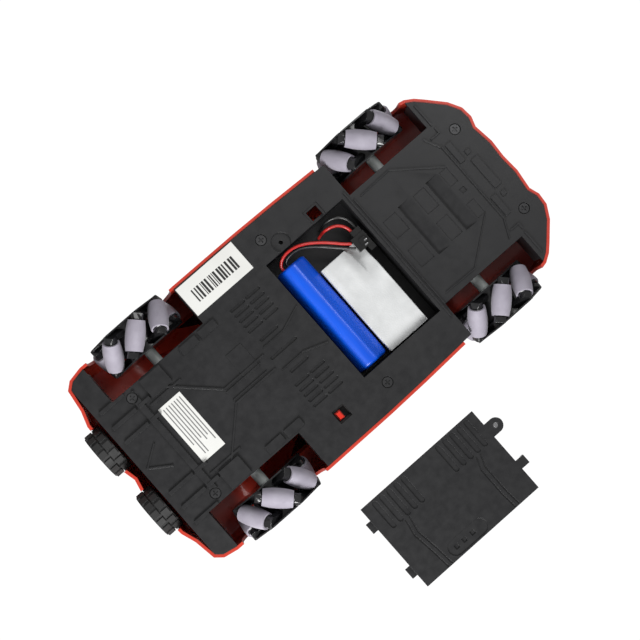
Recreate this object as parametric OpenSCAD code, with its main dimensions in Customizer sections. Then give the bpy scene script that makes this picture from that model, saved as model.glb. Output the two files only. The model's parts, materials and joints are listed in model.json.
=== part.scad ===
// Four-wheel mecanum robot car: wheels down, +X forward, +Y left, +Z up.
// The origin is on the ground, midway between the four wheels.

/* [Wheels] */
// Distance between the front and rear axles
wheelbase = 152; // [148:1:156]
// Distance from the centre line to each wheel's middle plane
half_track = 54.5; // [54:0.5:56]
// Radius of the wheel over its rollers
wheel_r = 24.5; // [24:0.25:25]
// Width of the hub across its brackets
hub_w = 20; // [18:1:20]
// Rollers on each wheel
roller_count = 7; // [6:1:7]
// Largest radius of a barrel roller
roller_r = 5.25; // [4.5:0.25:5.5]
// Length of a roller along its pin
roller_len = 16; // [14:1:17]

/* [Body] */
// Height of the chassis floor above the ground
floor_z = 10; // [9:0.5:12]
// Thickness of the chassis floor
floor_t = 2.6; // [2.2:0.1:3]
// Thickness of the red shell
shell_t = 1.6; // [1.2:0.1:2]

/* [Battery bay] */
// Length of the bay along the car
bay_x = 52; // [50:1:54]
// Width of the bay across the car
bay_y = 76; // [74:1:78]
// Depth of the bay above the floor's underside
bay_depth = 22; // [21.5:0.5:24]
// Radius of the wrapped battery
battery_r = 9.2; // [9:0.1:9.3]
// Length of the wrapped battery
battery_len = 66; // [64:1:67]

/* [Loose battery cover] */
// Place of the cover's middle along the car
cover_x = -11; // [-14:1:-8]
// Place of the cover's middle across the car
cover_y = 112; // [108:1:118]

/* [Hidden] */
SIDES = [["front_left", 1, 1], ["front_right", 1, -1], ["rear_left", -1, 1], ["rear_right", -1, -1]];
$fn = 48;

wheel_x = wheelbase / 2;
rim_z = floor_z + 0.4;
roller_ring_r = wheel_r - roller_r;
roller_end_r = wheel_r - sqrt(pow(roller_ring_r, 2) + pow(roller_len / 2, 2) / 2);
pin_r = 0.9;
pin_gap = 0.08;
pin_half = 11.4;
core_r = 13;
ear_r = 3.3;
plate_turn = -22;
axle_r = 1.5;
axle_gap = 0.08;
sleeve_r = 3;
wall_t = 1.5;
relief = 0.8;
label_t = 0.2;
well_y = 37;
front_well = [53.6, 106.5];
rear_well = [-107, -46];
bay_rear = -2.5;
bay_front = bay_rear + bay_x;
bay_ceiling = floor_z + bay_depth;
cover_t = 2.2;
screw_spots = [[117, 27], [117, -27], [4.9, 47.6], [4.1, -49.5], [-98, 32], [-98, -32]];
cover_ear = [42, -12.4];
latch_boss = [bay_rear + bay_x / 2 + cover_ear[1], -cover_ear[0]];

// Half of the body's plan outline, from the nose to the tail along the left side.
half_outline = [[127, 0], [127.6, 10], [126.2, 21], [128, 26.5], [127.4, 33], [123.5, 40],
    [115, 49.2], [111.4, 52.8], [107, 55.6], [98, 57.6], [54, 59.2], [20, 60.6], [-5, 61.2],
    [-46, 61.4], [-60, 60.8], [-108, 61], [-116, 59.4], [-120, 56], [-121.8, 44],
    [-124.5, 36], [-126, 8], [-124.2, 0]];
// Side view of the body, before its corners are rounded off. It runs on below the rim.
side_view = [[-124, -30], [-127, 10], [-125.5, 47], [-117, 54.5], [-92, 55.5],
    [-64, 72.5], [-40, 77], [-6, 78], [18, 75.5], [54, 56.5], [92, 53.5], [114, 47],
    [125.5, 36], [128.6, 27], [128.6, 8], [125, -30]];
// Front view of the body: fender shoulders below, the tapered cabin above.
front_view = [[62, -5], [62, 38], [60.4, 50], [55, 56], [48.5, 58], [42, 68],
    [36, 76], [24, 79], [0, 80]];

function mirrored(p) = concat(p, [for (i = [len(p) - 1:-1:0]) if (p[i][1] > 0) [p[i][0], -p[i][1]]]);
function mirrored_x(p) = concat(p, [for (i = [len(p) - 1:-1:0]) if (p[i][0] > 0) [-p[i][0], p[i][1]]]);
// One pass of corner cutting: every corner gives way to two points on its sides.
function cut_corners(p) = [for (i = [0:len(p) - 1]) for (t = [0.25, 0.75])
    p[i] * (1 - t) + p[(i + 1) % len(p)] * t];

module both_sides() {
    children();
    mirror([0, 1, 0])
        children();
}

// A box between two corners given as [x, y] pairs, from z up by h.
module block(a, b, z, h) {
    translate([min(a[0], b[0]), min(a[1], b[1]), z])
        cube([abs(b[0] - a[0]), abs(b[1] - a[1]), h]);
}

// A straight bar of width w between two points, from z up by h.
module bar(a, b, w, z, h) {
    run = norm(b - a);
    translate([a[0], a[1], z])
        rotate([0, 0, atan2(b[1] - a[1], b[0] - a[0])])
            translate([-w / 2, -w / 2, 0])
                cube([run + w, w, h]);
}

// Outline of a slot with round ends, its first end at the origin and its run along X.
function slot_outline(run, w) = concat(
    [for (k = [-3:3]) [run + w / 2 * cos(30 * k), w / 2 * sin(30 * k)]],
    [for (k = [3:9]) [w / 2 * cos(30 * k), w / 2 * sin(30 * k)]]);

// A slot with round ends between two points, from z up by h.
module slot(a, b, w, z, h) {
    translate([a[0], a[1], z])
        rotate([0, 0, atan2(b[1] - a[1], b[0] - a[0])])
            linear_extrude(h)
                polygon(slot_outline(norm(b - a), w));
}

// The solid car body, drawn in by inset on every side.
module body_form(inset) {
    tall = 200;
    intersection() {
        translate([0, 0, inset > 0 ? 0 : rim_z])
            linear_extrude(tall)
                offset(delta = -inset)
                    polygon(mirrored(half_outline));
        translate([0, tall / 2, 0])
            rotate([90, 0, 0])
                linear_extrude(tall)
                    offset(delta = -inset)
                        polygon(cut_corners(side_view));
        translate([-tall, 0, 0])
            rotate([90, 0, 90])
                linear_extrude(2 * tall)
                    offset(delta = -inset)
                        polygon(mirrored_x(front_view));
    }
}

// The thickness of the shell, open underneath.
module body_wall() {
    difference() {
        body_form(0);
        body_form(shell_t);
    }
}

// Everything that the window panes fill in the shell.
module glass_zones() {
    rotate([90, 0, 0])
        translate([0, 0, -100])
            linear_extrude(200)
                polygon([[-57, 59.5], [-44, 70], [-13, 71.6], [-10, 59.5]]);
    rotate([90, 0, 0])
        translate([0, 0, -100])
            linear_extrude(200)
                polygon([[-6, 59.5], [-9, 71.6], [14, 69.6], [30, 59.5]]);
    translate([21, -37, 58.8])
        cube([40, 74, 13.4]);
    translate([-100, -35, 59])
        cube([32, 70, 10]);
}

module headlamp_zones() {
    both_sides()
        translate([100, 24, 32])
            cube([40, 21, 9]);
}

module tail_lamp_zones() {
    both_sides()
        translate([-140, 24, 38])
            cube([25, 31, 8]);
}

module wheel_wells(z, h) {
    both_sides() {
        block([front_well[0], well_y], [front_well[1], 80], z, h);
        block([rear_well[0], well_y], [rear_well[1], 80], z, h);
    }
}

module body_shell() {
    color("firebrick")
        difference() {
            body_wall();
            glass_zones();
            headlamp_zones();
            tail_lamp_zones();
            // wheel arches, open to the side and below
            for (s = SIDES)
                translate([s[1] * wheel_x, s[2] * 40, wheel_r])
                    rotate([-90 * s[2], 0, 0])
                        cylinder(h = 40, r = wheel_r + 3.5);
            both_sides() {
                block([wheel_x - 28, 40], [wheel_x + 28, 80], 0, wheel_r);
                block([-wheel_x - 28, 40], [-wheel_x + 28, 80], 0, wheel_r);
            }
            // pockets behind the spare tyres
            both_sides()
                translate([-140, 20, 24])
                    rotate([0, 90, 0])
                        cylinder(h = 19.6, r = 14);
            // openings for the tread at the pockets' mouths
            both_sides()
                block([-140, 6.5], [-120.4, 33.5], 0, 24);
        }
}

module windows() {
    color([0.06, 0.07, 0.09])
        intersection() {
            body_wall();
            glass_zones();
        }
}

// Headlamps and tail lamps, each filling its opening in the shell.
module lamps() {
    color([0.85, 0.88, 0.9])
        intersection() {
            body_wall();
            headlamp_zones();
        }
    color([0.6, 0.03, 0.03])
        intersection() {
            body_wall();
            tail_lamp_zones();
        }
}

// Raised ribs, pads and rails that stand down from the chassis floor.
module floor_relief() {
    z = floor_z - relief;
    h = relief + 0.4;
    both_sides() {
        // front: long diagonals, panel edge, rectangles and chevrons
        bar([77, 33.5], [99.7, 16], 0.7, z, h);
        bar([58, 33], [77, 33.5], 0.7, z, h);
        bar([105, 25], [101, 33.5], 0.7, z, h);
        block([107.4, 11.5], [110.6, 24], z, h);
        block([113, 12.6], [115.6, 15.4], z, h);
        bar([104.5, 31], [109.6, 31], 0.9, z, h);
        bar([109.6, 31], [109.6, 34], 0.9, z, h);
        bar([109.2, 36.5], [109.2, 49.4], 0.9, z, h);
        // raised pads in front of the rear wells
        block([-64, 31], [-53.5, 35.6], z - 0.4, h + 0.4);
        block([-51.5, 31], [-41, 35.6], z - 0.4, h + 0.4);
        // covers over the rear gear boxes
        block([-90, 25], [-77, 36], z - 1, h + 1);
        bar([-93, 23], [-74, 23], 1.2, z, h);
        // fins along the tail
        for (y = [17, 26.5, 36.5])
            bar([-114.5, y], [-101, y], 2, z - 0.8, h + 0.8);
        for (y = [17, 26.5])
            bar([-97, y], [-92, y], 2, z - 0.8, h + 0.8);
        // V notch at the tail and the long Y ridges in front of it
        bar([-115.6, 0], [-105, 7.2], 1, z, h);
        bar([-81, 25], [-60, 4.6], 1, z, h);
        bar([-60, 4.6], [-34, 4.6], 1, z, h);
        bar([-60, 2.6], [-38, 2.6], 0.6, z, h);
        bar([-4.8, 12], [-17.4, 7.4], 0.9, z, h);
        bar([-17.4, 7.4], [-31, 7.4], 0.5, z, h);
    }
    bar([105.6, -25], [105.6, 25], 0.7, z, h);
    block([112.4, -9.6], [116.8, 9.6], z, h);
    bar([-97, -33], [-97, 31], 3.4, z - 0.6, h + 0.6);
    // long double lip along the front wall of the bay
    bar([bay_front + 2.4, -40], [bay_front + 2.4, 44], 0.7, z, h);
    bar([bay_front + 4.2, -34], [bay_front + 4.2, 40], 0.5, z, h);
    block([-48.5, -17], [-38.5, -1.5], floor_z - 0.3, 0.6);
}

// Slots, troughs and recesses cut up into the chassis floor.
module floor_cuts() {
    z = floor_z - 1;
    h = relief + 1;
    both_sides()
        for (column = [-31.2, -20.8], row = [0:4])
            slot([column, 18 + row * 3.5], [column + 8, 18 + row * 3.5], 1.5, z, h);
    slot([-29.4, -11], [-19, -11], 1.6, z, h);
    slot([-31.4, -0.4], [-15.6, -0.4], 1.6, z, h);
    slot([-28.4, 11], [-17.8, 11], 1.6, z, h);
    // two troughs with slanted floors in the front panel
    for (x = [68, 87])
        translate([x, 0, floor_z])
            rotate([90, 0, 0])
                translate([0, 0, -16])
                    linear_extrude(32)
                        polygon([[0, -1], [7.4, -1], [7.4, 0], [1.6, 1.7], [0, 1.7]]);
    both_sides() {
        block([77.5, 3], [85, 15.2], z, 1.5);
        block([57, 4], [65.6, 15.2], z, 1.5);
        block([95.6, 6], [100.6, 15.2], z, 1.4);
    }
    block([98, -2.2], [101, 0.6], z, h);
    // relief round the cover's screw boss and its latch slot
    translate([latch_boss[0], latch_boss[1], z])
        cylinder(h = 2.4, r = 5.2);
    block([29, -46], [38.4, -38], z, 1.7);
}

module floor_holes() {
    for (p = screw_spots)
        translate([p[0], p[1], floor_z - 2]) {
            cylinder(h = 11, r = 1.6);
            cylinder(h = 3.2, r = 3);
        }
    translate([latch_boss[0], latch_boss[1], floor_z - 2])
        cylinder(h = 9, r = 1.1);
    block([bay_rear, -bay_y / 2], [bay_front, bay_y / 2], 0, bay_ceiling);
    wheel_wells(-1, 60);
    // slot that the cover's latch hooks into
    block([30.6, -44.8], [37, -37], 0, floor_z + 4.4);
    // square opening of the switch
    block([-27, 40.4], [-19.4, 48], 0, 20);
    // slots that take the cover's two tabs
    for (across = [-15, 15])
        translate([bay_rear + bay_x / 2 + across, bay_y / 2, 0])
            block([-3.4, -1], [3.4, 4], floor_z + 1.4, 3.2);
}

module chassis() {
    upper = floor_z + floor_t;
    color([0.13, 0.13, 0.14])
        difference() {
            union() {
                difference() {
                    translate([0, 0, floor_z])
                        linear_extrude(floor_t)
                            offset(delta = -shell_t - 0.1)
                                polygon(mirrored(half_outline));
                    block([-140, -80], [-118.6, 80], 0, 40);
                    floor_cuts();
                }
                floor_relief();
                // skirt walls of the battery bay and its ceiling
                block([bay_rear - wall_t, -bay_y / 2 - wall_t], [bay_front + wall_t, bay_y / 2 + wall_t],
                    upper - 0.5, bay_ceiling + wall_t - upper + 0.5);
                // bosses over the screw wells and the cover screw
                for (p = screw_spots)
                    translate([p[0], p[1], upper - 0.5])
                        cylinder(h = 9, r = 3.9);
                translate([latch_boss[0], latch_boss[1], upper - 0.5])
                    cylinder(h = 7, r = 3.4);
                // inner walls of the wheel wells
                both_sides() {
                    block([front_well[0] - wall_t, well_y - wall_t], [front_well[1] + wall_t, well_y],
                        upper - 0.5, 20);
                    block([rear_well[0] - wall_t, well_y - wall_t], [rear_well[1] + wall_t, well_y],
                        upper - 0.5, 20);
                    block([front_well[1], well_y - wall_t], [front_well[1] + wall_t, 52], upper - 0.5, 20);
                    block([rear_well[1], well_y - wall_t], [rear_well[1] + wall_t, 56], upper - 0.5, 20);
                    block([rear_well[0] - wall_t, well_y - wall_t], [rear_well[0], 56], upper - 0.5, 20);
                }
            }
            floor_holes();
            label_plates(floor_z - 2 * relief, 2 * relief + label_t);
            for (s = SIDES)
                translate([s[1] * wheel_x, s[2] * (well_y - 3), wheel_r])
                    rotate([-90 * s[2], 0, 0])
                        cylinder(h = 6, r = sleeve_r + 0.4);
        }
}

module gear_motors() {
    color([0.75, 0.72, 0.62])
        for (s = SIDES)
            translate([s[1] * wheel_x, 0, wheel_r])
                difference() {
                    union() {
                        block([-11, s[2] * 17], [11, s[2] * (well_y - wall_t - 0.2)],
                            floor_z + floor_t - wheel_r, 21);
                        translate([-s[1] * 4, s[2] * 17.5, 0])
                            rotate([90 * s[2], 0, 0])
                                cylinder(h = 15.5, r = 7.5);
                    }
                    rotate([-90 * s[2], 0, 0])
                        translate([0, 0, 24])
                            cylinder(h = 20, r = axle_r + axle_gap);
                }
}

module control_board() {
    color("darkgreen")
        union() {
            translate([-40, -26, 20])
                cube([32, 48, 1.6]);
            for (p = [[-36, -22], [-12, -22], [-36, 18], [-12, 18]])
                translate([p[0], p[1], floor_z + floor_t])
                    cylinder(h = 8, r = 1.8);
            translate([-32, -10, 21.6])
                cube([12, 12, 1.6]);
            translate([-18, 4, 21.6])
                cube([7, 10, 5]);
        }
}

module switch_housing() {
    color([0.1, 0.1, 0.1])
        difference() {
            translate([-29, 39, floor_z + floor_t])
                cube([11.6, 10.4, 6]);
            translate([-26.6, 41.4, 0])
                cube([6.8, 5.6, floor_z + floor_t + 4]);
        }
}

module switch_slider() {
    color("red")
        union() {
            translate([-26.2, 41.8, floor_z + floor_t + 0.6])
                cube([3.4, 4.8, 3]);
            translate([-25.6, 42.4, floor_z + 0.3])
                cube([2.2, 3.6, 2.9]);
        }
}

module battery_pack() {
    y0 = -30.2;
    x0 = bay_rear + battery_r + 0.4;
    z0 = floor_z + cover_t + 0.4 + battery_r;
    color("royalblue")
        union() {
            translate([x0, y0, z0])
                rotate([-90, 0, 0])
                    cylinder(h = battery_len, r = battery_r);
            // flat protection strip under the wrap
            translate([x0 + 2, y0 + 2, z0 - battery_r + 0.5])
                cube([battery_r - 2.6, battery_len - 4, 6]);
        }
}

module battery_pad() {
    color("whitesmoke")
        difference() {
            block([bay_rear + 2 * battery_r + 1.4, -17.5], [42.5, 37.2], floor_z + 5, 12);
            // corner pressed in by the plug and its leads
            block([33.5, -18], [43, -8], floor_z + 4, 6.2);
        }
}

module battery_plug() {
    color([0.08, 0.08, 0.08])
        union() {
            block([39, -19.4], [47.4, -11.4], floor_z + 4.4, 5.4);
            block([41.4, -22.6], [47, -19.4], floor_z + 4.8, 4.2);
            block([44, -11.4], [47.6, -8.4], floor_z + 5.2, 3);
            block([42, -17], [45.4, -13.6], floor_z + 3.6, 0.9);
        }
}

// Round tube along a route of points, as one closed surface with flat ends.
lead_r = 0.8;
lead_sides = 8;
function route_dir(p, i) = let (d = p[min(i + 1, len(p) - 1)] - p[max(i - 1, 0)]) d / norm(d);
function ring(p, i) = let (
    d = route_dir(p, i),
    u = cross(d, abs(d[2]) > 0.9 ? [1, 0, 0] : [0, 0, 1]),
    a = u / norm(u),
    b = cross(d, a))
    [for (k = [0:lead_sides - 1]) p[i] + lead_r * (cos(45 * k) * a + sin(45 * k) * b)];
module lead(p) {
    n = lead_sides;
    last = len(p) - 1;
    polyhedron(
        points = [for (i = [0:last]) each ring(p, i)],
        faces = concat(
            [[for (k = [0:n - 1]) k]],
            [for (i = [0:last - 1]) for (k = [0:n - 1])
                [i * n + k, (i + 1) * n + k, (i + 1) * n + (k + 1) % n, i * n + (k + 1) % n]],
            [[for (k = [n - 1:-1:0]) last * n + k]]));
}

battery_route_red = [[3, -30.3, 18], [3.2, -32, 17.4], [4.6, -34, 16.2], [7.6, -35.6, 14.8],
    [11.6, -36, 14], [16, -35.2, 13.8], [20, -33.4, 14], [24, -30.8, 14.4], [28, -27.6, 15],
    [32, -23.8, 15.6], [35.6, -20.2, 16.2], [38.5, -17.8, 16.4]];
battery_route_black = [[6.4, -30.3, 19.4], [6.6, -32, 19], [8, -33.4, 18], [10.6, -34, 17],
    [14, -34, 16.4], [18, -32.8, 16.2], [22, -30, 16.4], [26, -26.6, 16.8], [30, -22.6, 17],
    [34, -18.6, 16.8], [36.8, -16, 16.4], [38.5, -14.4, 16.4]];
board_route_red = [[42.6, -22.7, 16.8], [42.2, -25, 16.6], [40.6, -28, 16], [37.6, -30.4, 15.6],
    [34, -31.6, 16.4], [31.4, -31.8, 19], [29.8, -31.6, 23], [29, -31.4, 27],
    [29, -31.4, bay_ceiling]];
board_route_black = [[45.6, -22.7, 16.8], [45.4, -27, 16.6], [43.6, -31, 16.4], [40.4, -33.6, 16.2],
    [37, -34.6, 17.4], [34.4, -34.6, 20], [33, -34.2, 24], [32.4, -34, 28],
    [32.4, -34, bay_ceiling]];

module battery_lead_red() {
    color("red")
        lead(battery_route_red);
}

module battery_lead_black() {
    color([0.1, 0.1, 0.1])
        lead(battery_route_black);
}

module board_lead_red() {
    color("red")
        lead(board_route_red);
}

module board_lead_black() {
    color([0.1, 0.1, 0.1])
        lead(board_route_black);
}

// The cover in its own frame: long side along X, outer face down at z = 0.
cover_long = 75.2;
cover_short = 51.2;
ear_t = 1.2;
module cover_in_place() {
    difference() {
        union() {
            block([-cover_long / 2, -cover_short / 2], [cover_long / 2, cover_short / 2], 0, cover_t);
            // stiffening ribs on the inner face
            for (y = [-23, 23])
                block([-34, y - 0.6], [34, y + 0.6], cover_t - 0.2, 1.6);
            // ear with the screw hole
            block([cover_long / 2 - 1, cover_ear[1] - 4], [cover_ear[0], cover_ear[1] + 4], 0, ear_t);
            translate([cover_ear[0], cover_ear[1], 0])
                cylinder(h = ear_t, r = 4);
            // latch hook and the two tabs
            block([cover_long / 2 - 1, 8], [42.6, 13], 0, cover_t);
            block([41, 8], [42.6, 13], cover_t - 0.2, 1.6);
            for (y = [-15, 15])
                block([-40.6, y - 3], [-cover_long / 2 + 1, y + 3], 1.9, 1.8);
        }
        // cooling slats, in two groups
        for (i = [0:4])
            slot([12.4 + 4.8 * i, -23], [12.4 + 4.8 * i, -9], 3, -1, 1.7);
        for (i = [0:4])
            slot([-30.2 + 4.8 * i, -23], [-30.2 + 4.8 * i, -9], 3, -1, 1.7);
        // long S-shaped grooves
        for (w = [0, 2.6]) {
            bar([24 + w, -6.6], [21.5 + w, 0], 0.8, -1, 1.5);
            bar([21.5 + w, 0], [21.5 + w, 16], 0.8, -1, 1.5);
            bar([21.5 + w, 16], [22.2 + w, 24.6], 0.8, -1, 1.5);
            bar([-21.3 - w, -6.6], [-23 - w, 2], 0.8, -1, 1.5);
            bar([-23 - w, 2], [-21.4 - w, 14], 0.8, -1, 1.5);
            bar([-21.4 - w, 14], [-20.4 - w, 24.6], 0.8, -1, 1.5);
        }
        // finger recess with three square dimples
        slot([-14, 20.4], [2, 20.4], 8.6, -1, 1.6);
        for (x = [-13.2, -8, -2.6])
            block([x - 1.2, 19.2], [x + 1.2, 21.6], -1, 2.4);
        translate([cover_ear[0], cover_ear[1], -1])
            cylinder(h = 10, r = 1.5);
    }
}

module battery_cover() {
    color([0.16, 0.16, 0.17])
        translate([cover_x, cover_y, 0])
            cover_in_place();
}

module cover_screw() {
    color("silver")
        translate([cover_x + cover_ear[0], cover_y + cover_ear[1], 0]) {
            // domed head on the inner face, standing up, and the thread down through the ear
            difference() {
                translate([0, 0, ear_t])
                    cylinder(h = 1.6, r = 2.6);
                block([-1.7, -0.35], [1.7, 0.35], ear_t + 0.7, 2);
                block([-0.35, -1.7], [0.35, 1.7], ear_t + 0.7, 2);
            }
            translate([0, 0, 0])
                cylinder(h = ear_t + 0.1, r = 1.2);
        }
}

module spare_tyres() {
    tyre_r = 13.2;
    color([0.09, 0.09, 0.09])
        both_sides()
            translate([-130.6, 20, 24])
                rotate([0, 90, 0])
                    difference() {
                        cylinder(h = 10, r = tyre_r - 0.9);
                        translate([0, 0, -1])
                            cylinder(h = 2.6, r = 7);
                    }
    // tread blocks in two staggered rows
    color([0.09, 0.09, 0.09])
        both_sides()
            translate([-130.6, 20, 24])
                rotate([0, 90, 0])
                    for (row = [0, 1], i = [0:15])
                        rotate([0, 0, 22.5 * i + 11.25 * row])
                            translate([tyre_r - 1.6, -1.7, 0.6 + 4.8 * row])
                                cube([1.6, 3.4, 4]);
}

module shell_screws() {
    color("dimgray")
        for (p = screw_spots)
            translate([p[0], p[1], floor_z + 1.2])
                difference() {
                    union() {
                        translate([0, 0, -0.9])
                            cylinder(h = 0.9, r = 2.6);
                        cylinder(h = 7, r = 1.5);
                    }
                    block([-1.6, -0.35], [1.6, 0.35], -2, 1.8);
                    block([-0.35, -1.6], [0.35, 1.6], -2, 1.8);
                }
}

// The two labels, from z up by h.
module label_plates(z, h) {
    block([-45.5, -59], [-8, -41.4], z, h);
    block([-92.2, -18.8], [-77.8, 16.4], z, h);
}

// The labels lie flush in shallow recesses of the underside.
module labels() {
    color("white")
        label_plates(floor_z, label_t);
}

// Moves a wheel's own frame (axis along Z, outer face up) to its place on the car.
// The rollers of the front left and rear right wheels lean the other way from the others.
module at_wheel(s) {
    translate([s[1] * wheel_x, s[2] * half_track, wheel_r])
        rotate([-90 * s[2], 0, 0])
            children();
}

// Which way the rollers lean, seen from outside the wheel.
function lean(s) = -45 * s[1] * s[2];

// Frame of roller i: its pin runs along Z and passes through the origin.
module at_roller(s, i) {
    rotate([0, 0, 90 * s[2] + (i - 1) * 360 / roller_count])
        translate([roller_ring_r, 0, 0])
            rotate([lean(s), 0, 0])
                children();
}

module hub(s) {
    color([0.07, 0.07, 0.08])
        at_wheel(s)
            difference() {
                union() {
                    cylinder(h = hub_w - 4.4, r = core_r - 1.4, center = true);
                    for (side = [-1, 1])
                        translate([0, 0, side * 7.9])
                            cylinder(h = 3.8, r = core_r + 1, center = true);
                    // thin end plates whose corners reach the outer brackets
                    for (side = [-1, 1])
                        translate([0, 0, side * (hub_w / 2 - 0.5)])
                            rotate([0, 0, 90 * s[2] + side * plate_turn * sign(lean(s))])
                                cylinder(h = 0.8, r = wheel_r - 2.2, center = true, $fn = 7);
                    intersection() {
                        cylinder(h = hub_w - 0.2, r = wheel_r - 1.4, center = true);
                        for (i = [1:roller_count])
                            at_roller(s, i)
                                for (side = [-1, 1]) {
                                    translate([0, 0, side * (roller_len / 2 + 0.5 + 1.6)])
                                        cylinder(h = 3.2, r = ear_r, center = true, $fn = 24);
                                    translate([-4.2, 0, side * (roller_len / 2 + 0.5 + 1.6)])
                                        cube([8.4, 4.4, 3.2], center = true);
                                }
                    }
                }
                for (i = [1:roller_count])
                    at_roller(s, i)
                        cylinder(h = 2 * pin_half, r = pin_r, center = true, $fn = 24);
                cylinder(h = 2 * hub_w, r = axle_r, center = true);
                translate([0, 0, hub_w / 2 - 2.4])
                    cylinder(h = 4, r = 5.2);
            }
}

module axle(s) {
    color("gainsboro")
        at_wheel(s) {
            // steel shaft from the gear box out to the wheel screw
            translate([0, 0, 27 - half_track])
                cylinder(h = half_track - 27 + 7.6, r = axle_r);
            translate([0, 0, well_y - 1.6 - half_track])
                cylinder(h = half_track - hub_w / 2 + 0.1 - well_y + 1.6, r = sleeve_r);
            translate([0, 0, 7.6])
                cylinder(h = 1.4, r = 3);
        }
}

module roller_pins(s) {
    color("silver")
        at_wheel(s)
            for (i = [1:roller_count])
                at_roller(s, i)
                    cylinder(h = 2 * pin_half - 1.4, r = pin_r, center = true, $fn = 24);
}

// Barrel whose side is an arc through both ends and the belly.
module roller(s, i) {
    half = roller_len / 2;
    bulge = roller_r - roller_end_r;
    arc_r = (half * half + bulge * bulge) / (2 * bulge);
    half_angle = asin(half / arc_r);
    steps = 6;
    barrel = [for (k = [-steps:steps]) let (a = half_angle * k / steps)
        [roller_r - arc_r + arc_r * cos(a), arc_r * sin(a)]];
    color([0.67, 0.64, 0.7])
        at_wheel(s)
            at_roller(s, i)
                rotate_extrude()
                    polygon(concat([[pin_r + pin_gap, -half]], barrel, [[pin_r + pin_gap, half]]));
}

chassis();
body_shell();
windows();
lamps();
spare_tyres();
shell_screws();
gear_motors();
control_board();
switch_housing();
switch_slider();
battery_pack();
battery_pad();
battery_plug();
battery_lead_red();
battery_lead_black();
board_lead_red();
board_lead_black();
battery_cover();
cover_screw();
labels();
for (s = SIDES) {
    hub(s);
    axle(s);
    roller_pins(s);
    for (i = [1:roller_count])
        roller(s, i);
}
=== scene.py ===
"""A four-wheel mecanum robot car, seen from below with its battery bay open and the bay cover beside it."""

import json
import math
import random

import bmesh
import bpy
from mathutils import Matrix, Vector


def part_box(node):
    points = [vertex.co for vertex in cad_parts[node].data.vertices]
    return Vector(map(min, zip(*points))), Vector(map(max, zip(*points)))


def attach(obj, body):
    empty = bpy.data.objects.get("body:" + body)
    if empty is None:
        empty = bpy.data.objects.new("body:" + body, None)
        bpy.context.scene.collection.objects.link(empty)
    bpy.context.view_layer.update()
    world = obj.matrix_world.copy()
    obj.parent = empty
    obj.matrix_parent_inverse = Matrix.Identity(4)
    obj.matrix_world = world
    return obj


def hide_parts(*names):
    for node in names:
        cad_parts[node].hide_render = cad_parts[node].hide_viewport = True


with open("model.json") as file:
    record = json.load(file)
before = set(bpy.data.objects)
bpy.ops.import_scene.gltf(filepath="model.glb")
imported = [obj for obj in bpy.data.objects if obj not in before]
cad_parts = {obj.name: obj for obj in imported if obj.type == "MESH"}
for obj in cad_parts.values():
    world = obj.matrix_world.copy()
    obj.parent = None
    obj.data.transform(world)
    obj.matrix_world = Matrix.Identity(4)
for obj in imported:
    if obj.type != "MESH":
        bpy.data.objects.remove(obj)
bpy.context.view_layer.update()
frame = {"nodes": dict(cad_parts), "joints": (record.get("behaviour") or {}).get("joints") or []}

scene = bpy.context.scene
nodes = frame["nodes"]
MM = 0.001
SIDES = ("front_left", "front_right", "rear_left", "rear_right")
ROLLERS = 7


# ---------------------------------------------------------------- camera

# The view leans this far from straight up. A negative lean puts the camera under the tail.
VIEW_TILT = math.radians(-4)
# Angle from the picture's right to the car's nose
HEADING = math.radians(41.2)
CAMERA_DISTANCE = 1.0
CAMERA_LENS = 110.3
SENSOR_WIDTH = 36
LOOK_AT = Vector((-0.0001, 0.001, 0.010))


def make_camera():
    """A long lens below the car, looking up, with the car's nose towards the upper right."""
    data = bpy.data.cameras.new("camera")
    data.lens = CAMERA_LENS
    data.sensor_width = SENSOR_WIDTH
    data.clip_start = 0.01
    camera = bpy.data.objects.new("camera", data)
    scene.collection.objects.link(camera)
    look = Vector((-math.sin(VIEW_TILT), 0, math.cos(VIEW_TILT)))
    right = Vector((math.cos(HEADING), math.sin(HEADING), 0))
    right = (right - look * right.dot(look)).normalized()
    up = look.cross(right) * -1
    turn = Matrix((right, up, -look)).transposed()
    camera.matrix_world = Matrix.Translation(LOOK_AT - look * CAMERA_DISTANCE) @ turn.to_4x4()
    scene.camera = camera


# ---------------------------------------------------------------- materials

# A noise texture's value lies mostly between these two.
NOISE_LOW = 0.3
NOISE_HIGH = 0.7
# How much finer the changes in gloss are than those in tone
GLOSS_FINENESS = 6


def new_material(name):
    """A node material with its Principled shader: (material, nodes, links, shader)."""
    material = bpy.data.materials.new(name)
    material.use_nodes = True
    tree = material.node_tree
    return material, tree.nodes, tree.links, tree.nodes["Principled BSDF"]


def coordinates(tree_nodes, links, stretch=(1, 1, 1)):
    """Object coordinates, in metres, multiplied by stretch along each axis."""
    place = tree_nodes.new("ShaderNodeTexCoord")
    mapping = tree_nodes.new("ShaderNodeMapping")
    mapping.inputs["Scale"].default_value = stretch
    links.new(place.outputs["Object"], mapping.inputs["Vector"])
    return mapping.outputs["Vector"]


def noise(tree_nodes, links, vector, scale, detail=3.0):
    """A noise texture's value."""
    texture = tree_nodes.new("ShaderNodeTexNoise")
    texture.inputs["Scale"].default_value = scale
    texture.inputs["Detail"].default_value = detail
    links.new(vector, texture.inputs["Vector"])
    return texture.outputs["Fac"]


def between(tree_nodes, links, value, low, high, from_low=NOISE_LOW, from_high=NOISE_HIGH):
    """value's range from_low..from_high spread over low..high."""
    spread = tree_nodes.new("ShaderNodeMapRange")
    spread.inputs["From Min"].default_value = from_low
    spread.inputs["From Max"].default_value = from_high
    spread.inputs["To Min"].default_value = low
    spread.inputs["To Max"].default_value = high
    links.new(value, spread.inputs["Value"])
    return spread.outputs["Result"]


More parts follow.
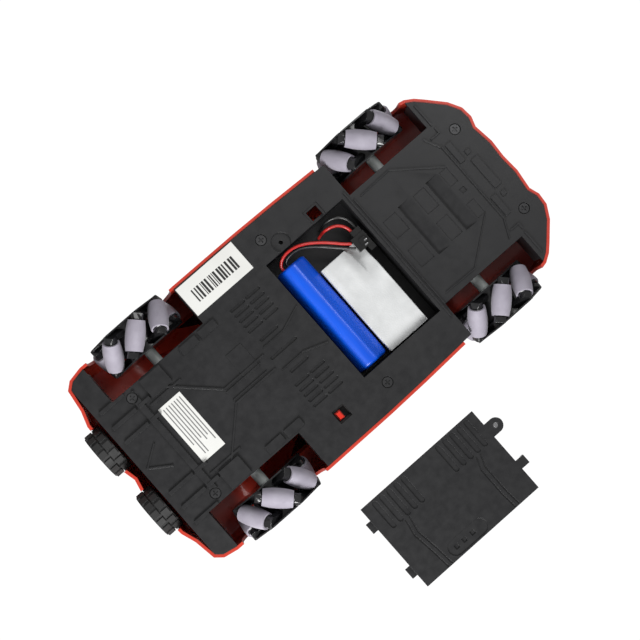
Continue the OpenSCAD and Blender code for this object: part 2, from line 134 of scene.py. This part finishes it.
def two_colours(tree_nodes, links, value, first, second):
    """A colour that runs from first to second as value goes from NOISE_LOW to NOISE_HIGH."""
    ramp = tree_nodes.new("ShaderNodeValToRGB")
    ramp.color_ramp.elements[0].position = NOISE_LOW
    ramp.color_ramp.elements[0].color = (*first, 1)
    ramp.color_ramp.elements[1].position = NOISE_HIGH
    ramp.color_ramp.elements[1].color = (*second, 1)
    links.new(value, ramp.inputs["Fac"])
    return ramp.outputs["Color"]


def moulded(name, dark, light, rough, grain=900, bump=0.1, grain_depth=0.06, round_edges=0.0, coat=0.0,
            patch=40, metal=0.0, sheen=0.0):
    """Moulded plastic, rubber or metal: patchy tone, uneven gloss, a fine grain and rounded edges.

    rough is the lowest and highest roughness. grain_depth and round_edges are in millimetres, and
    grain and patch are the scales of the grain and of the patches of tone.
    """
    material, tree_nodes, links, shader = new_material(name)
    where = coordinates(tree_nodes, links)
    tone = noise(tree_nodes, links, where, patch)
    links.new(two_colours(tree_nodes, links, tone, dark, light), shader.inputs["Base Color"])
    gloss = noise(tree_nodes, links, where, patch * GLOSS_FINENESS)
    links.new(between(tree_nodes, links, gloss, rough[0], rough[1]), shader.inputs["Roughness"])
    shader.inputs["Coat Weight"].default_value = coat
    shader.inputs["Metallic"].default_value = metal
    shader.inputs["Sheen Weight"].default_value = sheen
    grainy = tree_nodes.new("ShaderNodeBump")
    grainy.inputs["Strength"].default_value = bump
    grainy.inputs["Distance"].default_value = grain_depth * MM
    links.new(noise(tree_nodes, links, where, grain, 2.0), grainy.inputs["Height"])
    if round_edges:
        edge = tree_nodes.new("ShaderNodeBevel")
        edge.samples = 4
        edge.inputs["Radius"].default_value = round_edges * MM
        links.new(edge.outputs["Normal"], grainy.inputs["Normal"])
    links.new(grainy.outputs["Normal"], shader.inputs["Normal"])
    return material


def wrapped_film():
    """Blue heat-shrink film: glossy, with shallow lengthwise wrinkles."""
    material, tree_nodes, links, shader = new_material("battery_film")
    along = coordinates(tree_nodes, links, (1, 0.12, 1))
    tone = noise(tree_nodes, links, along, 180)
    colour = two_colours(tree_nodes, links, tone, (0.0, 0.075, 0.62), (0.0, 0.105, 0.80))
    links.new(colour, shader.inputs["Base Color"])
    gloss = noise(tree_nodes, links, along, 500)
    links.new(between(tree_nodes, links, gloss, 0.24, 0.36), shader.inputs["Roughness"])
    shader.inputs["Coat Weight"].default_value = 0.3
    shader.inputs["Coat Roughness"].default_value = 0.15
    wrinkle = tree_nodes.new("ShaderNodeBump")
    wrinkle.inputs["Strength"].default_value = 0.25
    wrinkle.inputs["Distance"].default_value = 0.12 * MM
    links.new(noise(tree_nodes, links, along, 420), wrinkle.inputs["Height"])
    links.new(wrinkle.outputs["Normal"], shader.inputs["Normal"])
    return material


def closed_foam():
    """White foam: soft, with fine cells."""
    material, tree_nodes, links, shader = new_material("pad_foam")
    where = coordinates(tree_nodes, links)
    tone = noise(tree_nodes, links, where, 120)
    colour = two_colours(tree_nodes, links, tone, (0.60, 0.61, 0.61), (0.69, 0.70, 0.70))
    links.new(colour, shader.inputs["Base Color"])
    shader.inputs["Roughness"].default_value = 0.9
    cells = tree_nodes.new("ShaderNodeTexVoronoi")
    cells.inputs["Scale"].default_value = 1400
    links.new(where, cells.inputs["Vector"])
    pits = tree_nodes.new("ShaderNodeBump")
    pits.inputs["Strength"].default_value = 0.3
    pits.inputs["Distance"].default_value = 0.15 * MM
    links.new(cells.outputs["Distance"], pits.inputs["Height"])
    links.new(pits.outputs["Normal"], shader.inputs["Normal"])
    return material


def fluted_lamps():
    """Lamp plastic: clear and fluted at the front, red at the back."""
    material, tree_nodes, links, shader = new_material("lamp_plastic")
    place = tree_nodes.new("ShaderNodeTexCoord")
    apart = tree_nodes.new("ShaderNodeSeparateXYZ")
    links.new(place.outputs["Object"], apart.inputs["Vector"])
    front = between(tree_nodes, links, apart.outputs["X"], 0, 1, -0.001, 0.001)
    colour = two_colours(tree_nodes, links, front, (0.42, 0.012, 0.01), (0.72, 0.75, 0.78))
    links.new(colour, shader.inputs["Base Color"])
    shader.inputs["Roughness"].default_value = 0.12
    shader.inputs["Coat Weight"].default_value = 0.5
    flutes = tree_nodes.new("ShaderNodeTexWave")
    flutes.bands_direction = "Y"
    flutes.inputs["Scale"].default_value = 160
    links.new(place.outputs["Object"], flutes.inputs["Vector"])
    ridges = tree_nodes.new("ShaderNodeBump")
    ridges.inputs["Strength"].default_value = 0.6
    ridges.inputs["Distance"].default_value = 0.4 * MM
    links.new(flutes.outputs["Fac"], ridges.inputs["Height"])
    links.new(ridges.outputs["Normal"], shader.inputs["Normal"])
    return material


def make_materials():
    """Every material by name."""
    return {
        "chassis": moulded("chassis_plastic", (0.0085, 0.0085, 0.0095), (0.0125, 0.0125, 0.0135),
                           (0.36, 0.48), grain=2600, bump=0.25, grain_depth=0.05, round_edges=0.35),
        "cover": moulded("cover_plastic", (0.009, 0.009, 0.010), (0.013, 0.013, 0.014), (0.35, 0.47),
                         grain=2600, bump=0.25, grain_depth=0.05, round_edges=0.3),
        "shell": moulded("shell_paint", (0.50, 0.035, 0.018), (0.58, 0.045, 0.022), (0.26, 0.36),
                         grain=300, bump=0.04, coat=0.35),
        "window": moulded("window_plastic", (0.010, 0.011, 0.013), (0.016, 0.018, 0.021), (0.07, 0.14),
                          grain=120, bump=0.02, coat=0.6),
        "tyre": moulded("tyre_rubber", (0.014, 0.014, 0.014), (0.024, 0.024, 0.024), (0.5, 0.72),
                        grain=1800, bump=0.35, round_edges=0.3),
        "hub": moulded("hub_plastic", (0.010, 0.010, 0.011), (0.016, 0.016, 0.017), (0.14, 0.26),
                       grain=500, bump=0.08, round_edges=0.35, coat=0.35),
        "roller": moulded("roller_rubber", (0.33, 0.305, 0.365), (0.40, 0.375, 0.44), (0.62, 0.78),
                          grain=1500, bump=0.3, grain_depth=0.08, patch=160, sheen=0.15),
        "bush": moulded("bush_plastic", (0.008, 0.008, 0.009), (0.014, 0.014, 0.015), (0.1, 0.22),
                        coat=0.4),
        "axle": moulded("axle_plastic", (0.44, 0.47, 0.46), (0.54, 0.57, 0.56), (0.35, 0.5),
                        round_edges=0.2),
        "steel": moulded("bright_steel", (0.42, 0.42, 0.43), (0.62, 0.62, 0.63), (0.2, 0.36), metal=1.0,
                         grain=700, round_edges=0.15),
        # Painted shade: the shell screws sit deep in dark wells, and this steel is made dark to stand in
        # for the shade of those wells.
        "shade_darkened_steel": moulded("shade_darkened_steel", (0.05, 0.05, 0.052), (0.09, 0.09, 0.092), (0.3, 0.45),
                              metal=0.8, grain=700, round_edges=0.15),
        "gearbox": moulded("gearbox_plastic", (0.48, 0.40, 0.22), (0.56, 0.47, 0.27), (0.4, 0.55),
                           round_edges=0.4),
        "board": moulded("board_mask", (0.008, 0.075, 0.028), (0.014, 0.11, 0.04), (0.25, 0.4), grain=500),
        "switch_black": moulded("switch_plastic", (0.014, 0.014, 0.014), (0.02, 0.02, 0.02), (0.35, 0.5),
                                round_edges=0.15),
        "switch_red": moulded("switch_cap", (0.60, 0.02, 0.008), (0.72, 0.03, 0.012), (0.25, 0.4),
                              round_edges=0.2, coat=0.2),
        "plug": moulded("plug_plastic", (0.009, 0.009, 0.009), (0.014, 0.014, 0.014), (0.12, 0.24),
                        round_edges=0.3, coat=0.3),
        "lead_red": moulded("red_insulation", (0.40, 0.012, 0.010), (0.52, 0.02, 0.016), (0.3, 0.42),
                            coat=0.15),
        "lead_black": moulded("black_insulation", (0.010, 0.010, 0.010), (0.018, 0.018, 0.018), (0.3, 0.42),
                              coat=0.15),
        "label": moulded("label_film", (0.74, 0.74, 0.71), (0.80, 0.80, 0.77), (0.4, 0.55), grain=600,
                         bump=0.05),
        "ink": moulded("label_ink", (0.012, 0.012, 0.012), (0.022, 0.022, 0.022), (0.5, 0.6)),
        "grey_ink": moulded("label_grey_ink", (0.16, 0.16, 0.16), (0.22, 0.22, 0.22), (0.5, 0.6)),
        "film": wrapped_film(),
        "foam": closed_foam(),
        "lamp": fluted_lamps(),
    }


# ---------------------------------------------------------------- mesh helpers

# Points of a CAD node's mesh closer than this are one point.
WELD_DISTANCE = 0.002 * MM
# Faces of a CAD node that meet at more than this many degrees keep their edge.
CAD_CREASE = 30


def box_mm(node):
    """The lowest and highest corner of a CAD node, in millimetres."""
    low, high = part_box(node)
    return low / MM, high / MM


def dress(obj, material):
    """Gives obj one material."""
    obj.data.materials.clear()
    obj.data.materials.append(material)


def crisp_edges(obj, degrees):
    """Keeps the edges that are sharper than degrees crisp under smooth shading."""
    split = obj.modifiers.new("crisp", "EDGE_SPLIT")
    split.split_angle = math.radians(degrees)


def add_piece(name, mesh, body, material, slot, *replaced):
    """A finished mesh as a piece that rides on a body and stands for some CAD nodes."""
    piece = bpy.data.objects.new(name, mesh)
    scene.collection.objects.link(piece)
    dress(piece, material)
    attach(piece, body)
    if replaced:
        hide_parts(*replaced)
    return piece


def mesh_from(name, points, faces, smooth=True):
    """A mesh from points in millimetres."""
    mesh = bpy.data.meshes.new(name)
    mesh.from_pydata([Vector(p) * MM for p in points], [], faces)
    mesh.polygons.foreach_set("use_smooth", [smooth] * len(mesh.polygons))
    mesh.update()
    return mesh


def smooth_cad(obj):
    """Shades a CAD node smooth over its curved faces and keeps its edges crisp."""
    mesh = obj.data
    stored = mesh.attributes.get("custom_normal")
    if stored:
        mesh.attributes.remove(stored)
    weld = obj.modifiers.new("weld", "WELD")
    weld.merge_threshold = WELD_DISTANCE
    mesh.shade_smooth()
    crisp_edges(obj, CAD_CREASE)


def joined(parts):
    """One list of points and one of faces from several (points, faces)."""
    points, faces = [], []
    for more_points, more_faces in parts:
        start = len(points)
        points += more_points
        faces += [tuple(start + i for i in f) for f in more_faces]
    return points, faces


def box_form(low, high):
    """Points and faces of a box between its lowest and highest corners."""
    points = [(x, y, z) for x in (low[0], high[0]) for y in (low[1], high[1]) for z in (low[2], high[2])]
    faces = [(0, 1, 3, 2), (4, 6, 7, 5), (0, 4, 5, 1), (2, 3, 7, 6), (0, 2, 6, 4), (1, 5, 7, 3)]
    return points, faces


def boxes_mesh(name, boxes, bevel=0.0):
    """One mesh of several boxes, each (low, high) in millimetres, with edges bevelled by bevel."""
    points, faces = joined(box_form(low, high) for low, high in boxes)
    mesh = mesh_from(name, points, faces, smooth=False)
    if bevel:
        work = bmesh.new()
        work.from_mesh(mesh)
        bmesh.ops.bevel(work, geom=work.edges, offset=bevel * MM, segments=2, affect="EDGES", profile=0.7)
        work.to_mesh(mesh)
        work.free()
    return mesh


def lathe(profile, centre, axis, steps):
    """Points and faces of a closed profile of (radius, height) turned about an axis through centre."""
    spin = axis.normalized()
    side = spin.orthogonal().normalized()
    other = spin.cross(side)
    points, faces = [], []
    count = len(profile)
    for k in range(steps):
        turn = 2 * math.pi * k / steps
        out = side * math.cos(turn) + other * math.sin(turn)
        points += [centre + out * r + spin * h for r, h in profile]
    for k in range(steps):
        here, there = k * count, (k + 1) % steps * count
        for j in range(count):
            following = (j + 1) % count
            faces.append((here + j, there + j, there + following, here + following))
    return points, faces


# ---------------------------------------------------------------- the wheels

# Section of a bush as (distance from the roller's axis, distance from the roller's middle)
BUSH_PROFILE = [(1.0, 7.7), (1.0, 8.38), (2.6, 8.38), (3.3, 8.24), (3.55, 8.04), (3.55, 7.7)]
BUSH_STEPS = 24
BUSH_CREASE = 35


def roller_bushes(materials):
    """The black bush at each end of every roller, which turns with it."""
    for joint in frame["joints"]:
        body = joint["child"]
        if not body.startswith("roller_"):
            continue
        centre = Vector(joint["pos_m"]) / MM
        axis = Vector(joint["axis"])
        points, faces = joined(lathe(BUSH_PROFILE, centre, axis * end, BUSH_STEPS) for end in (1, -1))
        name = "bushes_" + body
        mesh = mesh_from(name, points, faces)
        piece = add_piece(name, mesh, body, materials["bush"], "hub_black")
        crisp_edges(piece, BUSH_CREASE)


# ---------------------------------------------------------------- the battery bay


CELL_SIDES = 96
CELL_STEPS = 90
CELL_CREASE = 50
# Gap between the film and the CAD's cylinder
FILM_GAP = 0.05
# The flat band: how far it is cut into the round film, and where it lies round the cell
BAND_DEPTH = 0.75
BAND_AT = math.radians(-52)
# Radius of the film's turned-in ends
END_ROUND = 1.4
# Ripples of the film near its ends: how many waves, how deep, and how far they reach
RIPPLES = 6
SLOWEST_RIPPLE = 3
RIPPLE_DEPTH = 0.10
RIPPLE_REACH = 3.5


def end_shrink(end):
    """How far the film is drawn in at a distance end from the cell's nearer end."""
    if end > END_ROUND:
        return 0.0
    return END_ROUND * (1 - math.sqrt(1 - (1 - end / END_ROUND) ** 2))


def film_radius(turn, end, radius, ripple):
    """Radius of the film at an angle turn round the cell and a distance end from its nearer end."""
    off = math.cos(turn - BAND_AT)
    r = min(radius, (radius - BAND_DEPTH) / off) if off > 0.5 else radius
    wave = sum(math.sin((n + SLOWEST_RIPPLE) * turn + ripple[n]) for n in range(RIPPLES)) / RIPPLES
    return r - RIPPLE_DEPTH * (1 + wave) * math.exp(-end / RIPPLE_REACH) - end_shrink(end)


def battery(materials):
    """The wrapped cell: a cylinder with turned-in ends and a flat band where the protection strip lies."""
    low, high = box_mm("battery_pack")
    centre = (low + high) / 2
    radius = (high.x - low.x) / 2 - FILM_GAP
    rng = random.Random(4)
    ripple = [rng.uniform(0, 2 * math.pi) for _ in range(RIPPLES)]
    points, faces = [], []
    for i in range(CELL_STEPS + 1):
        y = low.y + (high.y - low.y) * i / CELL_STEPS
        end = min(y - low.y, high.y - y)
        for k in range(CELL_SIDES):
            turn = 2 * math.pi * k / CELL_SIDES
            r = film_radius(turn, end, radius, ripple)
            points.append((centre.x + r * math.cos(turn), y, centre.z + r * math.sin(turn)))
    for i in range(CELL_STEPS):
        for k in range(CELL_SIDES):
            a = i * CELL_SIDES + k
            b = i * CELL_SIDES + (k + 1) % CELL_SIDES
            faces.append((a, a + CELL_SIDES, b + CELL_SIDES, b))
    faces.append(tuple(range(CELL_SIDES)))
    faces.append(tuple(reversed(range(CELL_STEPS * CELL_SIDES, (CELL_STEPS + 1) * CELL_SIDES))))
    mesh = mesh_from("battery_wrap", points, faces)
    piece = add_piece("battery_wrap", mesh, "car", materials["film"], "battery_wrap", "battery_pack")
    crisp_edges(piece, CELL_CREASE)


PAD_EDGE = 0.5 * MM
PAD_UNEVEN = 0.12 * MM
# The corner that the plug presses in: beyond DENT_X, short of DENT_Y and up to DENT_Z
DENT_X = 33.5 * MM
DENT_Y = -8 * MM
DENT_Z = 20.3 * MM


def foam_pad(materials):
    """The white foam block, with soft cut edges, a slightly uneven face and a corner pressed in."""
    mesh = boxes_mesh("foam_pad", [box_mm("battery_pad")])
    work = bmesh.new()
    work.from_mesh(mesh)
    bmesh.ops.bevel(work, geom=work.edges, offset=PAD_EDGE, segments=3, affect="EDGES", profile=0.5)
    bmesh.ops.subdivide_edges(work, edges=work.edges, cuts=6, use_grid_fill=True)
    rng = random.Random(7)
    for vertex in work.verts:
        vertex.co.z += PAD_UNEVEN * (rng.random() - 0.5)
        if vertex.co.x > DENT_X and vertex.co.y < DENT_Y:
            vertex.co.z = max(vertex.co.z, DENT_Z)
    work.to_mesh(mesh)
    work.free()
    mesh.polygons.foreach_set("use_smooth", [True] * len(mesh.polygons))
    piece = add_piece("foam_pad", mesh, "car", materials["foam"], "foam_white", "battery_pad")


LEAD_RADIUS = 0.8
BAY_CEILING = 32
# Each lead's route in millimetres, as in the CAD
LEADS = {
    "battery_lead_red": [(3, -30.3, 18), (3.2, -32, 17.4), (4.6, -34, 16.2), (7.6, -35.6, 14.8),
                         (11.6, -36, 14), (16, -35.2, 13.8), (20, -33.4, 14), (24, -30.8, 14.4),
                         (28, -27.6, 15), (32, -23.8, 15.6), (35.6, -20.2, 16.2), (38.5, -17.8, 16.4)],
    "battery_lead_black": [(6.4, -30.3, 19.4), (6.6, -32, 19), (8, -33.4, 18), (10.6, -34, 17),
                           (14, -34, 16.4), (18, -32.8, 16.2), (22, -30, 16.4), (26, -26.6, 16.8),
                           (30, -22.6, 17), (34, -18.6, 16.8), (36.8, -16, 16.4), (38.5, -14.4, 16.4)],
    "board_lead_red": [(42.6, -22.7, 16.8), (42.2, -25, 16.6), (40.6, -28, 16), (37.6, -30.4, 15.6),
                       (34, -31.6, 16.4), (31.4, -31.8, 19), (29.8, -31.6, 23), (29, -31.4, 27),
                       (29, -31.4, BAY_CEILING)],
    "board_lead_black": [(45.6, -22.7, 16.8), (45.4, -27, 16.6), (43.6, -31, 16.4), (40.4, -33.6, 16.2),
                         (37, -34.6, 17.4), (34.4, -34.6, 20), (33, -34.2, 24), (32.4, -34, 28),
                         (32.4, -34, BAY_CEILING)],
}


def leads(materials):
    """The four leads as smooth round wires along their routes."""
    for name, route in LEADS.items():
        data = bpy.data.curves.new(name + "_wire", "CURVE")
        data.dimensions = "3D"
        data.bevel_depth = LEAD_RADIUS * MM
        data.bevel_resolution = 4
        data.resolution_u = 8
        data.use_fill_caps = True
        spline = data.splines.new("BEZIER")
        spline.bezier_points.add(len(route) - 1)
        for point, place in zip(spline.bezier_points, route):
            point.co = Vector(place) * MM
            point.handle_left_type = point.handle_right_type = "AUTO"
        wire = bpy.data.objects.new(name + "_wire", data)
        scene.collection.objects.link(wire)
        colour = "lead_red" if name.endswith("red") else "lead_black"
        data.materials.append(materials[colour])
        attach(wire, "car")
        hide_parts(name)


CONTACT_SPOTS = [(45.1, -14.7), (44.0, -12.6)]
# Half the size of a contact along and across the car
CONTACT_HALF = (0.9, 0.45)
# How far a contact stands out of the plug's face, and how far it goes in
CONTACT_OUT = 0.25
CONTACT_IN = 0.6
CONTACT_EDGE = 0.15


def plug_contacts(materials):
    """Two bright contacts in the downward face of the plug."""
    face = box_mm("battery_plug")[0].z
    half_x, half_y = CONTACT_HALF
    pins = [((x - half_x, y - half_y, face - CONTACT_OUT), (x + half_x, y + half_y, face + CONTACT_IN))
            for x, y in CONTACT_SPOTS]
    mesh = boxes_mesh("plug_contacts", pins, CONTACT_EDGE)
    add_piece("plug_contacts", mesh, "car", materials["steel"], "screw_steel")


# ---------------------------------------------------------------- the labels


INK_THICKNESS = 0.03
# The bars: where they start and stop along the car, their ends across it, and their widths and gaps
BARS_FROM = -40.0
BARS_TO = -14
BAR_ENDS = (-53.6, -46.2)
BAR_WIDTHS = (0.45, 0.8, 1.2)
BAR_GAPS = (0.45, 0.75, 1.1)
# The ruled lines: how many, where they start, their spacing and width, and how uneven their ends are
RULED_LINES = 7
RULED_FROM = (-90.4, -17)
RULED_TO = 14.0
RULED_SPACING = 1.75
RULED_WIDTH = 0.6
RULED_UNEVEN = 9


def labels(materials):
    """Generic print on the two labels: plain bars on one, ruled lines on the other."""
    face = box_mm("labels")[0].z
    ink = face - INK_THICKNESS
    rng = random.Random(11)
    bars = []
    x = BARS_FROM
    while x < BARS_TO:
        width = rng.choice(BAR_WIDTHS)
        bars.append(((x, BAR_ENDS[0], ink), (x + width, BAR_ENDS[1], face)))
        x += width + rng.choice(BAR_GAPS)
    add_piece("label_bars", boxes_mesh("label_bars", bars), "car", materials["ink"], "label_white")
    lines = []
    for i in range(RULED_LINES):
        left = RULED_FROM[0] + RULED_SPACING * i
        stop = RULED_TO - rng.uniform(0, RULED_UNEVEN)
        lines.append(((left, RULED_FROM[1], ink), (left + RULED_WIDTH, stop, face)))
    mesh = boxes_mesh("label_lines", lines)
    add_piece("label_lines", mesh, "car", materials["grey_ink"], "label_white")


# ---------------------------------------------------------------- dressing the CAD nodes


def dress_cad(materials):
    """A material for each CAD node that shows."""
    plain = {
        "chassis": "chassis", "body_shell": "shell", "windows": "window", "lamps": "lamp",
        # The shell screws get the steel that is darkened with the painted shade of their deep wells.
        "spare_tyres": "tyre", "shell_screws": "shade_darkened_steel", "gear_motors": "gearbox",
        "control_board": "board", "switch_housing": "switch_black", "switch_slider": "switch_red",
        "battery_plug": "plug", "battery_cover": "cover", "cover_screw": "steel", "labels": "label",
    }
    for side in SIDES:
        plain["hub_" + side] = "hub"
        plain["axle_" + side] = "axle"
        plain["roller_pins_" + side] = "steel"
        for i in range(1, ROLLERS + 1):
            plain[f"roller_{side}_{i}"] = "roller"
    for name, material in plain.items():
        dress(nodes[name], materials[material])
        smooth_cad(nodes[name])


# ---------------------------------------------------------------- floor and light

FLOOR_HALF = 3.0
# The floor lies this far below the wheels, so that it doesn't touch them.
FLOOR_Z = -0.0002
# The strength of the white surroundings as light on the car, and as the backdrop that the camera sees
WORLD_LIGHT = 0.28
WORLD_BACKDROP = 1.05
# Soft boxes: place, the point they face, size and power
SOFT_BOXES = {
    "key_below": ((-0.55, 0.5, -0.55), (0, 0, 0), 0.45, 10),
    "fill_below": ((0.5, -0.25, -0.75), (0, 0.03, 0), 0.5, 3),
    "key_above": ((0.4, -0.6, 0.9), (0, 0, 0.03), 0.6, 9),
    "fill_above": ((-0.7, 0.6, 0.7), (0, 0, 0.03), 0.6, 5),
}


def make_floor():
    """A pale floor that is seen from above only, so that the view from below looks straight through it."""
    material, tree_nodes, links, shader = new_material("floor")
    shader.inputs["Base Color"].default_value = (0.86, 0.86, 0.86, 1)
    shader.inputs["Roughness"].default_value = 0.9
    clear = tree_nodes.new("ShaderNodeBsdfTransparent")
    side = tree_nodes.new("ShaderNodeNewGeometry")
    choose = tree_nodes.new("ShaderNodeMixShader")
    links.new(side.outputs["Backfacing"], choose.inputs["Fac"])
    links.new(shader.outputs["BSDF"], choose.inputs[1])
    links.new(clear.outputs["BSDF"], choose.inputs[2])
    links.new(choose.outputs["Shader"], tree_nodes["Material Output"].inputs["Surface"])
    corners = [(-FLOOR_HALF, -FLOOR_HALF, 0), (FLOOR_HALF, -FLOOR_HALF, 0),
               (FLOOR_HALF, FLOOR_HALF, 0), (-FLOOR_HALF, FLOOR_HALF, 0)]
    mesh = bpy.data.meshes.new("floor")
    mesh.from_pydata(corners, [], [(0, 1, 2, 3)])
    floor = bpy.data.objects.new("floor", mesh)
    floor.location.z = FLOOR_Z
    scene.collection.objects.link(floor)
    dress(floor, material)
    floor.visible_shadow = False
    floor.visible_diffuse = False
    floor.visible_glossy = False


def soft_box(name, place, aim, size, power):
    """A square area light at place that faces aim."""
    data = bpy.data.lights.new(name, "AREA")
    data.size = size
    data.energy = power
    lamp = bpy.data.objects.new(name, data)
    scene.collection.objects.link(lamp)
    lamp.location = place
    lamp.rotation_euler = (Vector(aim) - Vector(place)).to_track_quat("-Z", "Y").to_euler()


def make_light():
    """White surroundings with soft boxes below for the underside and above for the body."""
    world = bpy.data.worlds.new("world")
    scene.world = world
    world.use_nodes = True
    back = world.node_tree.nodes["Background"]
    back.inputs["Color"].default_value = (1, 1, 1, 1)
    path = world.node_tree.nodes.new("ShaderNodeLightPath")
    level = world.node_tree.nodes.new("ShaderNodeMapRange")
    level.inputs["To Min"].default_value = WORLD_LIGHT
    level.inputs["To Max"].default_value = WORLD_BACKDROP
    world.node_tree.links.new(path.outputs["Is Camera Ray"], level.inputs["Value"])
    world.node_tree.links.new(level.outputs["Result"], back.inputs["Strength"])
    for name, (place, aim, size, power) in SOFT_BOXES.items():
        soft_box(name, place, aim, size, power)


make_camera()
paint = make_materials()
dress_cad(paint)
roller_bushes(paint)
battery(paint)
foam_pad(paint)
leads(paint)
plug_contacts(paint)
labels(paint)
make_floor()
make_light()
scene.view_settings.view_transform = "Standard"
